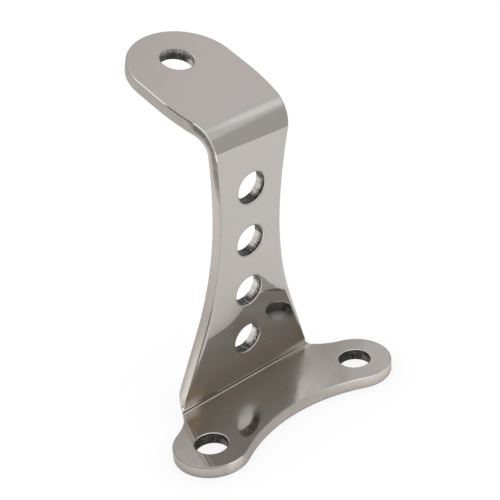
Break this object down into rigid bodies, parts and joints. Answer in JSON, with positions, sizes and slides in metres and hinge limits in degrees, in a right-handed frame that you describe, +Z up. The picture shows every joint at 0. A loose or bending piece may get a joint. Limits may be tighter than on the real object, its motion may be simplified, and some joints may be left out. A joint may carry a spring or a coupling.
{
  "type": "headlight bracket",
  "caption": "Polished steel headlight bracket: a plate bent into a Z, with a lobed bolt foot, a waisted and drilled web, and a sloping round-ended tab for the lamp's stud.",
  "frame": {"origin": "midway between the centres of the two foot holes, on the underside of the foot", "axes": "+X along the bend lines, to the right of someone looking at the bracket's front; -Y is the front, where the foot's hollow edge points; +Z up, from the foot to the lamp's tab"},
  "size_m": [0.1074, 0.0804, 0.1414],
  "materials": {
    "polished_steel": "polished stainless steel, near mirror on the faces and satin on the cut edges"
  },
  "bodies": {
    "root": {"headlight_bracket": "polished_steel"}
  },
  "joints": []
}
